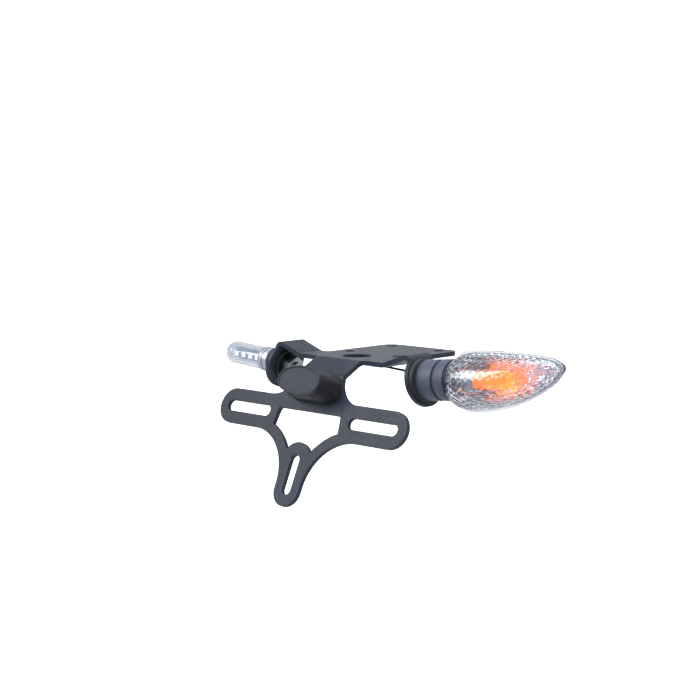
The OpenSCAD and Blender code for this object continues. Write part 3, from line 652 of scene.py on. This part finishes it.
# %% Plate in layers
def plate(piece_name, profile, layers):
    """A plate on an outline of (x, middle, half height), in layers of (depth, inset), in mm."""
    x, middle, half = profile[0]
    depth = layers[0][0]
    piece = first_point(piece_name, x * MM, depth * MM, (middle - half) * MM)
    extrude_by(0, 0, 2 * half * MM)
    bpy.ops.mesh.select_all(action="SELECT")
    for new_x, new_middle, new_half in profile[1:]:
        extrude_by((new_x - x) * MM, 0, (new_middle - middle) * MM)
        bpy.ops.transform.resize(
            value=(1, 1, new_half / half),
            center_override=(new_x * MM, depth * MM, new_middle * MM))
        x, middle, half = new_x, new_middle, new_half
    bpy.ops.mesh.select_all(action="SELECT")
    bpy.ops.mesh.dissolve_limited(angle_limit=math.radians(0.01))
    bpy.ops.mesh.select_all(action="SELECT")
    left, right = profile[0][0], profile[-1][0]
    low, high = min(m - h for _, m, h in profile), max(m + h for _, m, h in profile)
    size = (1.0, 1.0)
    for step, (new_depth, inset) in enumerate(layers):
        if step:
            extrude_by(0, (new_depth - depth) * MM, 0)
        fit = (1 - 2 * inset / (right - left), 1 - 2 * inset / (high - low))
        bpy.ops.transform.resize(
            value=(fit[0] / size[0], 1, fit[1] / size[1]), center_override=(
                (left + right) / 2 * MM, new_depth * MM, (low + high) / 2 * MM))
        depth, size = new_depth, fit
    return close_up(piece)


# %% [markdown]
# The oval is made of four arcs, as a draughtsman would draw it: two flat ones
# above and below, and a small one at each end.

# %% Lamp cap
LAMP_A, LAMP_B, LAMP_END = 17.5, 9.1, 7.0
LAMP_FRONT, CAP_T, CAP_RIM, CAP_SINK = 17.0, 2.6, 1.1, 0.6
SPIGOT, SPIGOT_INNER, SPIGOT_OUTER = 1.5, 3.0, 1.95
CAP_STEPS = 72


def lamp_half(x):
    """Half height of the lamp's oval at x, in mm."""
    end = LAMP_A - LAMP_END
    big = (end * end + LAMP_B * LAMP_B - LAMP_END * LAMP_END) / (2 * (LAMP_B - LAMP_END))
    if abs(x) < end * big / (big - LAMP_END):
        return math.sqrt(big * big - x * x) - big + LAMP_B
    return max(0.02, math.sqrt(max(0.0, LAMP_END ** 2 - (abs(x) - end) ** 2)))


cap_run = [-LAMP_A * math.cos(math.pi * i / CAP_STEPS) for i in range(CAP_STEPS + 1)]
cap_back = LAMP_FRONT - CAP_T
cap = plate("lamp_cap", [(x, 0.0, lamp_half(x)) for x in cap_run], [
    (cap_back, SPIGOT_INNER), (cap_back - SPIGOT, SPIGOT_INNER),
    (cap_back - SPIGOT, SPIGOT_OUTER), (cap_back, SPIGOT_OUTER),
    (cap_back, 0.15), (cap_back + 0.15, 0.0),
    (LAMP_FRONT - 0.35, 0.0), (LAMP_FRONT - 0.15, 0.05), (LAMP_FRONT - 0.03, 0.2),
    (LAMP_FRONT, 0.4), (LAMP_FRONT, CAP_RIM - 0.25), (LAMP_FRONT - 0.1, CAP_RIM - 0.05),
    (LAMP_FRONT - CAP_SINK + 0.15, CAP_RIM), (LAMP_FRONT - CAP_SINK, CAP_RIM + 0.15)])
set_down(cap, lamp_place)
# The cap's greyer colour is painted sky light.
dress(cap, cap_abs_painted_sky_light, "cap_plastic", "plate_lamp_cap", smooth=50, level=True)

# %% [markdown]
# ## The bulb indicator's stem
# A stud runs through foot and stem, along the tab's axis, and its hole is bored
# after the stem is turned. So a few helpers cut one piece with another, join two,
# and bore. Each deletes its tool.

# %% Cutting one piece with another
BORE_START, BORE_RADIUS = -8, 4.15


def cut_away(piece, tool):
    """Takes the tool's volume out of a piece, and deletes the tool."""
    apply_modifier(piece, "BOOLEAN", operation="DIFFERENCE", solver="EXACT", object=tool)
    bpy.data.objects.remove(tool)


def add_to(piece, other):
    """Joins another closed shape to a piece, and deletes it."""
    apply_modifier(piece, "BOOLEAN", operation="UNION", solver="EXACT", object=other)
    bpy.data.objects.remove(other)


def bore(piece, place, depth):
    """Bores the hole for a stud, along the tab's axis."""
    drill = turned("drill", [
        (BORE_START, 0), (BORE_START, BORE_RADIUS), (depth, BORE_RADIUS), (depth, 0)], 64)
    set_down(drill, place)
    cut_away(piece, drill)


# %% [markdown]
# The tab leans more than the stem, so the black rubber foot between them is a
# wedge, a little wider towards the rear. It is the CAD wedge with soft edges. The
# grey rubber stem is turned, with a groove round it and a narrow neck.

# %% Spacer and stem
STEM_START, STEM_END = 2, 26.6
STEM_RADIUS, NECK_RADIUS = 12.3, 11
spacer = cad_copy("bulb_spacer", "rubber_spacer")
round_edges(spacer, 0.2, 50)
dress(spacer, spacer_rubber, "rubber_black", "bulb_spacer", smooth=40)
stem = turned("grooved_stem", [
    (STEM_START, 0), (STEM_START, 11.95), (2.1, 12.2), (2.35, STEM_RADIUS),
    (13.2, STEM_RADIUS), (13.45, 12.2), (13.5, 11.9), (13.6, NECK_RADIUS),
    (15.4, NECK_RADIUS), (15.5, 11.9), (15.55, 12.2), (15.8, STEM_RADIUS),
    (22.3, STEM_RADIUS), (22.55, 12.2), (22.6, 11.9), (22.7, NECK_RADIUS),
    (STEM_END, NECK_RADIUS), (STEM_END, 0)])
set_down(stem, bulb_place)
bore(stem, bulb_tab, 12)
dress(stem, stem_rubber, "stem_rubber", "bulb_stem")

# %% [markdown]
# ## The teardrop
# Lens and housing are two half shells on one outline: round at the stem, widest
# at 38 mm, and drawn to a blunt tip at 102 mm by two long arcs. A half oval is
# extruded from station to station, and resized at each to the outline there.

# %% Outline of the teardrop
TIP, WIDEST = 102.1, 38.4
HEAD_RUN, TIP_RUN = WIDEST - STEM_END + 0.3, 9.6
HEAD_POWER, TIP_POWER, BULGE_POWER = 2.94, 2.26, 0.8
TOP, BOTTOM = 17.2, 18.6
TOP_ARC, BOTTOM_ARC = 298.0, 106.2
RIM_STEP = 1.3
WALL = 2.0
LEAST = 0.05


def sag(x, radius):
    """How far an arc of that radius falls away at x from its top."""
    return radius - math.sqrt(radius * radius - x * x)


def round_end(x, power):
    """From 1 down to 0 as x goes from 0 to 1, as the end of a superellipse."""
    return max(0.0, 1 - max(0.0, x) ** power) ** (1 / power)


def outline(s, depth, inset, wall):
    """Middle height, half height and depth of the section at s, in mm."""
    past = max(0.0, s - WIDEST)
    up, low = TOP - sag(past, TOP_ARC), sag(past, BOTTOM_ARC) - BOTTOM
    head = round_end((WIDEST - s + wall) / HEAD_RUN, HEAD_POWER)
    tip = round_end((s - TIP + inset + wall + TIP_RUN) / TIP_RUN, TIP_POWER)
    half = max(LEAST, ((up - low) / 2 - inset - wall) * head * tip)
    along = max(0.0, s - wall - WIDEST) / (TIP - inset - 2 * wall - WIDEST)
    bulge = max(LEAST, (depth - wall) * head * max(0.0, 1 - along * along) ** BULGE_POWER)
    return (up + low) / 2, half, bulge


def stations(count, inset, wall):
    """Places along the axis, close together at both ends."""
    first, last = STEM_END + wall, TIP - inset - wall
    return [first + (1 - math.cos(math.pi * i / count)) / 2 * (last - first)
            for i in range(count + 1)]


# %% [markdown]
# The half oval is a circle cut along its middle, squashed to the section's size.
# One that hollows a shell reaches past the middle, so that it leaves no thin skin
# there. Half a shell could also be a whole one cut in two, but then its flat side
# would be one face with a hundred corners, which cuts badly.

# %% Loft a half shell
REAR, FRONT = -1, 1


def half_loft(piece_name, side, depth, inset, wall, past=0.0, count=44, around=36):
    """A closed half oval on one side of the middle, extruded along the stations.

    past is how far it reaches past the middle, as a share of its own depth."""
    bpy.ops.object.select_all(action="DESELECT")
    bpy.ops.mesh.primitive_circle_add(
        vertices=2 * around, radius=MM, fill_type="NGON", rotation=(0, math.pi / 2, 0))
    piece = new_piece(piece_name)
    settle(piece)
    bpy.ops.object.mode_set(mode="EDIT")
    bpy.ops.mesh.select_all(action="SELECT")
    bpy.ops.mesh.bisect(plane_co=(0, -side * past * MM, 0), plane_no=(0, -side, 0),
                        clear_outer=True, use_fill=False, threshold=1e-7)
    bpy.ops.mesh.select_all(action="SELECT")
    run = stations(count, inset, wall)
    middle, half, bulge = outline(run[0], depth, inset, wall)
    bpy.ops.transform.resize(value=(1, bulge, half), center_override=(0, 0, 0))
    bpy.ops.transform.translate(value=(run[0] * MM, 0, middle * MM))
    for before, now in zip(run, run[1:]):
        new_middle, new_half, new_bulge = outline(now, depth, inset, wall)
        extrude_by((now - before) * MM, 0, (new_middle - middle) * MM)
        bpy.ops.transform.resize(
            value=(1, new_bulge / bulge, new_half / half),
            center_override=(now * MM, 0, new_middle * MM))
        middle, half, bulge = new_middle, new_half, new_bulge
    return close_up(piece)


# %% [markdown]
# The lens is a 2 mm shell with a flat rim, which is a plate on the same outline.
# Its edge is rounded by layers that step in, because a bevel would cross itself at
# the tip.

# %% Rim plate
RIM_STATIONS = 60


def rim_plate(piece_name, y_low, y_high, inset, wall=0.0, edge=0.0):
    """A flat plate with the teardrop's outline, between two depths in mm."""
    layers = [(y_low, 0.0), (y_high, 0.0)]
    if edge:
        layers = [
            (y_low, edge), (y_low + 0.12 * edge, 0.5 * edge),
            (y_low + 0.5 * edge, 0.12 * edge), (y_low + edge, 0.0),
            (y_high - edge, 0.0), (y_high - 0.5 * edge, 0.12 * edge),
            (y_high - 0.12 * edge, 0.5 * edge), (y_high, edge)]
    profile = [(s,) + outline(s, 1, inset, wall)[:2]
               for s in stations(RIM_STATIONS, inset, wall)]
    return plate(piece_name, profile, layers)


# %% [markdown]
# The inside of the lens and the mirror behind the bulb are moulded in small facets
# that scatter the light. Each face of the tool that hollows them is raised to a
# low pyramid first.

# %% Facets
def faceted(piece, height_mm):
    """Raises every face of a cutting tool to a low pyramid."""
    only(piece)
    bpy.ops.object.mode_set(mode="EDIT")
    bpy.ops.mesh.select_all(action="SELECT")
    bpy.ops.mesh.poke(offset=height_mm * MM)
    bpy.ops.object.mode_set(mode="OBJECT")
    return piece


# %% [markdown]
# The lens is injected in one piece. Here its bulge and its rim are joined and the
# faceted tool is taken out, and then it is moved back by the thickness of the
# seal. The bulge stops short of the middle, inside the rim, because two shapes
# join badly where their faces share a plane. The facets meet at small angles that
# must stay crisp, so the smooth shading stops at 8 degrees.

# %% Clear lens
LENS_DEPTH, LENS_RIM, SEAL_T = 21.0, 2.4, 1.0
SHORT, REACH = -0.04, 0.17
LENS_FACET = 0.2
lens = half_loft("teardrop_lens", REAR, LENS_DEPTH, RIM_STEP, 0.0, past=SHORT)
add_to(lens, rim_plate("lens_rim", -LENS_RIM, 0.0, 0.0, edge=0.4))
lens_tool = half_loft("lens_hollow", REAR, LENS_DEPTH, RIM_STEP, WALL,
                      past=REACH, count=22, around=16)
cut_away(lens, faceted(lens_tool, LENS_FACET))
lens.location.y = -SEAL_T * MM
settle(lens)
set_down(lens, bulb_place)
# The lens's dark edge colour is painted shade.
dress(lens, lens_clear_painted_edge_shade, "clear_plastic", "bulb_lens", smooth=8)

# %% [markdown]
# The housing is the front half, a chromed plastic shell with a smooth outside. The
# seal between the two is the same outline as a thin ring of silicone, cut from a
# plate.

# %% Housing and seal
HOUSING_DEPTH = 16.0
shell = half_loft("teardrop_housing", FRONT, HOUSING_DEPTH, RIM_STEP, 0.0)
cut_away(shell, half_loft("housing_hollow", FRONT, HOUSING_DEPTH, RIM_STEP, WALL, past=REACH))
set_down(shell, bulb_place)
dress(shell, shell_chrome, "reflector_chrome", "bulb_housing", smooth=35)

seal = rim_plate("teardrop_seal", -SEAL_T, 0.0, RIM_STEP)
cut_away(seal, rim_plate("seal_hollow", -2.0, 1.0, RIM_STEP, WALL))
set_down(seal, bulb_place)
dress(seal, seal_silicone, None, "bulb_seal")

# %% [markdown]
# The reflector is a thin dish inside the housing, hollowed by a faceted tool. A
# small collar round the bulb's holder hides the dark end of the stem.

# %% Reflector
DISH_DEPTH, DISH_OUT, DISH_IN = 12.0, 2.15, 3.35
MIRROR_FACET = 0.4
COLLAR_BACK, COLLAR_FACE, COLLAR_BORE, COLLAR_RADIUS = 29.9, 30.6, 7.1, 9.2
dish = half_loft("faceted_reflector", FRONT, DISH_DEPTH, RIM_STEP, DISH_OUT,
                 count=24, around=14)
dish_tool = half_loft("dish_hollow", FRONT, DISH_DEPTH, RIM_STEP, DISH_IN,
                      past=REACH, count=24, around=14)
cut_away(dish, faceted(dish_tool, MIRROR_FACET))
add_to(dish, turned("dish_collar", [
    (COLLAR_BACK, COLLAR_BORE), (COLLAR_BACK, COLLAR_RADIUS), (COLLAR_FACE, COLLAR_RADIUS),
    (COLLAR_FACE, COLLAR_BORE), (COLLAR_BACK, COLLAR_BORE)], 48))
set_down(dish, bulb_place)
dress(dish, reflector_skin, "reflector_chrome", "bulb_reflector", smooth=5)

# %% [markdown]
# ## The bulb
# The bulb's plated cap sits in a metal holder, and its amber lacquered glass ends in
# a half sphere. Holder and glass are both turned, since both are round.

# %% Bulb and holder
HOLDER = STEM_END + WALL
GLASS_END, GLASS_RADIUS, GLASS_NECK = 36, 5.5, 4.4
HOLDER_RADIUS, HOLDER_BORE = 7, 5.65


def dome(centre, radius, steps):
    """Points of a quarter circle, from its full radius to its pole on the axis."""
    return [(centre + radius * math.sin(a), radius * math.cos(a)) for a in
            (math.radians(90 * i / steps) for i in range(steps + 1))]


bulb = turned("amber_bulb_glass", [
    (HOLDER + 4, 0), (HOLDER + 4, GLASS_NECK), (HOLDER + 11.8, GLASS_NECK),
    (HOLDER + 13.6, GLASS_RADIUS)] + dome(
        HOLDER + GLASS_END - GLASS_RADIUS, GLASS_RADIUS, 10), 48)
set_down(bulb, bulb_place)
# The amber glass's emission is a painted glow.
dress(bulb, amber_glass, "amber_glass", "amber_bulb", smooth=40)
holder = turned("bulb_holder", [
    (HOLDER, 0), (HOLDER, 5), (HOLDER + 3, 5), (HOLDER + 3, 6.8),
    (HOLDER + 3.2, HOLDER_RADIUS), (HOLDER + 11.4, HOLDER_RADIUS), (HOLDER + 12, 6.4),
    (HOLDER + 12, HOLDER_BORE), (HOLDER + 4, HOLDER_BORE), (HOLDER + 4, 0)], 64)
set_down(holder, bulb_place)
dress(holder, zinc_plate, "zinc_steel", "bulb_socket")

# %% [markdown]
# ## The slim indicator
# On the left sits a slimmer one: dark root, blasted aluminium collar with a
# groove, and a clear tube with a round end over a strip of four light chips. The
# root is turned, and then its foot is cut at the slant of the tab.

# %% Root of the slim indicator
ROOT_L, ROOT_RADIUS = 8.5, 8.6
ROOT_START = -2.4
slim_root = turned("slim_root_sleeve", [
    (ROOT_START, 0), (ROOT_START, ROOT_RADIUS), (7.9, ROOT_RADIUS), (8.3, 8.45),
    (ROOT_L, 8.0), (ROOT_L, 0)])
set_down(slim_root, slim_place)
only(slim_root)
bpy.ops.object.mode_set(mode="EDIT")
bpy.ops.mesh.select_all(action="SELECT")
bpy.ops.mesh.bisect(plane_co=slim_tab.translation, plane_no=slim_tab.col[0].xyz,
                    clear_inner=True, use_fill=True, threshold=1e-7)
close_up(slim_root)
bore(slim_root, slim_tab, 6.5)
dress(slim_root, spacer_rubber, "rubber_black", "slim_root")

# %% [markdown]
# The collar is turned from bar, with broken edges and a groove at its middle. The
# tube is a closed shell, out along its outside and back along its inside, so that
# light bends twice in it, as in the real one.

# %% Collar and tube of the slim indicator
COLLAR_L, COLLAR_R, COLLAR_HOLE = 8.3, 8.1, 6.3
LENS_S = ROOT_L + COLLAR_L
GROOVE = ROOT_L + COLLAR_L / 2
TUBE_RADIUS, TUBE_BORE, TUBE_PLUG = 7.5, 5.25, 6.15
DOME_AT, DOME_STEPS = 44.8, 15
slim_collar = turned("slim_collar_sleeve", [
    (ROOT_L, 0), (ROOT_L, 7.7), (ROOT_L + 0.12, 7.98), (ROOT_L + 0.4, COLLAR_R),
    (GROOVE - 0.65, COLLAR_R), (GROOVE - 0.5, 7.95), (GROOVE - 0.5, 7.6),
    (GROOVE + 0.5, 7.6), (GROOVE + 0.5, 7.95), (GROOVE + 0.65, COLLAR_R),
    (LENS_S - 0.4, COLLAR_R), (LENS_S - 0.12, 7.98), (LENS_S, 7.7),
    (LENS_S, COLLAR_HOLE), (ROOT_L + 2, COLLAR_HOLE), (ROOT_L + 2, 0)])
set_down(slim_collar, slim_place)
dress(slim_collar, anodised, "satin_aluminium", "slim_collar")
tube_back = (LENS_S - 4, TUBE_BORE)
slim_lens = turned("slim_lens_tube", [
    tube_back, (LENS_S - 4, TUBE_PLUG), (LENS_S, TUBE_PLUG), (LENS_S, 7.3),
    (LENS_S + 0.2, TUBE_RADIUS)] + dome(DOME_AT, TUBE_RADIUS, DOME_STEPS)
    + dome(DOME_AT, TUBE_BORE, DOME_STEPS)[::-1] + [tube_back])
set_down(slim_lens, slim_place)
# The tube's dark edge colour is painted shade.
dress(slim_lens, tube_clear_painted_edge_shade, "clear_plastic", "slim_lens", smooth=40)

# %% [markdown]
# ## Small parts that keep their CAD shape
# Washers, nuts, studs, boards and chips are right as the CAD has them. They get
# their finish in the material slots of their own objects.

# %% Finishes on the CAD nodes
for material, names in (
        (zinc_plate, ("plate_lamp_screws", "bulb_stud", "bulb_nut", "slim_stud", "slim_nut")),
        (black_zinc, ("bulb_backing_washer", "slim_steel_washer")),
        # The window's dark colour is painted shade.
        (window_painted_shade, ("plate_lamp_window",)),
        (solder_mask_green, ("plate_lamp_board",)),
        (chip_phosphor, ("plate_lamp_chips",)),
        # The white chips' emission is a painted glow.
        (chip_white_painted_glow, ("slim_chips_set",)),
        (connector_nylon, ("lead_connector",)),
        (solder_mask_white, ("slim_board",)),
        (spacer_rubber, ("slim_rubber_washer",))):
    for name in names:
        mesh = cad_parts[name].data
        mesh.materials.clear()
        mesh.materials.append(material)
    print(material.name, "on", ", ".join(names))

# %% [markdown]
# ## White paper and sky
# The photo's background was cut out to pure white afterwards, so the glass doesn't
# see that white. Here the paper and the sky are white to the camera alone: to the
# part they are a grey room, which draws the dark edges of the clear plastics.

# %% Backdrop finish
ROOM_LIGHT = 0.8
WHITE = (1.0, 1.0, 1.0, 1.0)
sweep_paper, tree, shader, place = finish("white_background_paper", Roughness=0.9)
fibres = (add_node(tree, "TexNoise", {
    "Vector": place, "Scale": per_mm(400), "Detail": 2.0}), "Fac")
surface(tree, shader, (fibres, "#bcbcbc", "#c4c4c4"))
seen = add_node(tree, "LightPath")
tree.links.new(seen.outputs["Is Camera Ray"], shader.inputs["Emission Strength"])
sweep.data.materials.append(sweep_paper)
sky = world.node_tree.nodes["Background"]
sky.inputs["Color"].default_value = WHITE
seen = add_node(world.node_tree, "LightPath")
strength = add_node(world.node_tree, "MapRange", {
    "Value": (seen, "Is Camera Ray"), "To Min": ROOM_LIGHT})
world.node_tree.links.new(strength.outputs["Result"], sky.inputs["Strength"])
